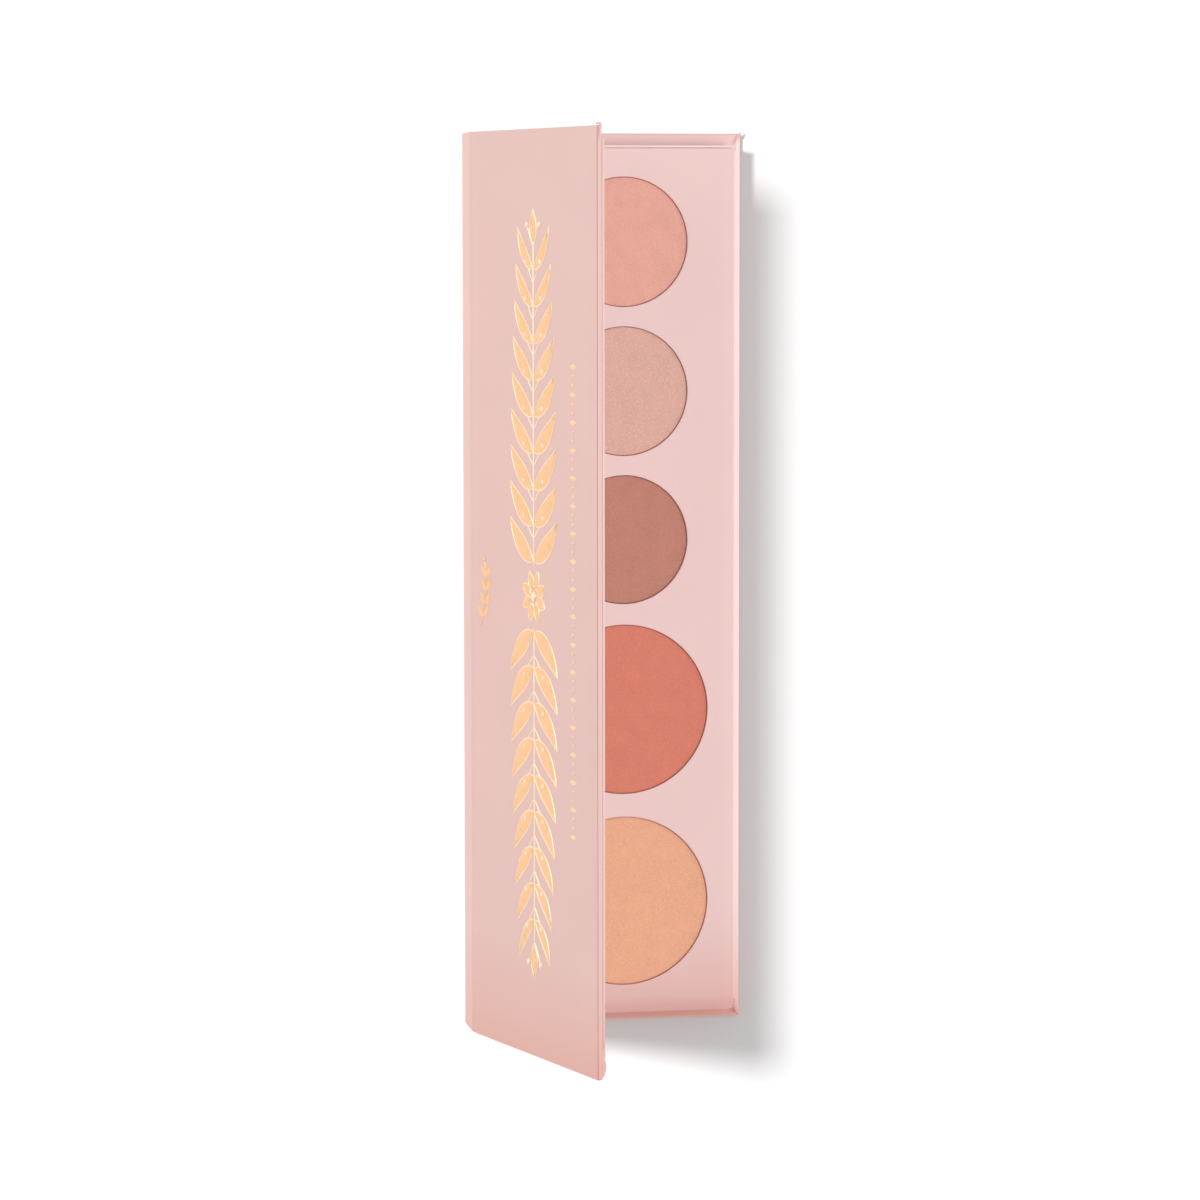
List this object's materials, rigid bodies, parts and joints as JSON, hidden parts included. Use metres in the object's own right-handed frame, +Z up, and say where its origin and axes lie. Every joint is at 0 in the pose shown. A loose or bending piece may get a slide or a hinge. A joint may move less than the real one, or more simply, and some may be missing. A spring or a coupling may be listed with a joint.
{
  "type": "eyeshadow palette",
  "caption": "Slim book-style makeup palette: paper-covered board case with a folding hinged lid over a shallow tray of round pressed powder pans.",
  "frame": {"origin": "centre of the underside of the back cover, on the surface that it lies on", "axes": "+Z up out of the powder pans; Y along the palette, the small pans toward +Y; the hinge is along Y on the -X side and the fore-edge is on the +X side"},
  "size_m": [0.0588, 0.1874, 0.0669],
  "materials": {
    "cover_paper": "satin",
    "card_paper": "satin",
    "lining_paper": "satin",
    "greyboard": "matte",
    "pan_metal": "satin",
    "magnet_metal": "satin",
    "mirror_face": "polished",
    "tape": "matte",
    "powder_peach": "matte",
    "powder_champagne": "satin",
    "powder_rosewood": "matte",
    "powder_coral": "matte",
    "powder_apricot": "satin"
  },
  "bodies": {
    "base": {"back_board": "greyboard", "back_wrap": "cover_paper", "spine_board": "greyboard", "spine_wrap": "cover_paper", "hinge_rail": "greyboard", "hinge_lining": "lining_paper", "tray_collar": "card_paper", "tray_floor": "greyboard", "seat_layer_lower": "greyboard", "seat_layer_upper": "greyboard", "tray_card": "card_paper", "tray_magnet_head": "magnet_metal", "tray_magnet_tail": "magnet_metal", "pan_tape_1": "tape", "pan_1": "pan_metal", "powder_1": "powder_peach", "pan_tape_2": "tape", "pan_2": "pan_metal", "powder_2": "powder_champagne", "pan_tape_3": "tape", "pan_3": "pan_metal", "powder_3": "powder_rosewood", "pan_tape_4": "tape", "pan_4": "pan_metal", "powder_4": "powder_coral", "pan_tape_5": "tape", "pan_5": "pan_metal", "powder_5": "powder_apricot"},
    "lid": {"lid_board": "greyboard", "lid_wrap": "cover_paper", "lid_hinge_lining": "lining_paper", "lid_liner": "card_paper", "mirror": "mirror_face", "mirror_tape": "tape", "lid_magnet_head": "magnet_metal", "lid_magnet_tail": "magnet_metal"}
  },
  "joints": [
    {"name": "lid_hinge", "type": "hinge", "parent": "base", "child": "lid", "pos_m": [-0.02945, 0, 0.01038], "axis": [0, -1, 0], "range_deg": [-73.6, 106.4]}
  ]
}
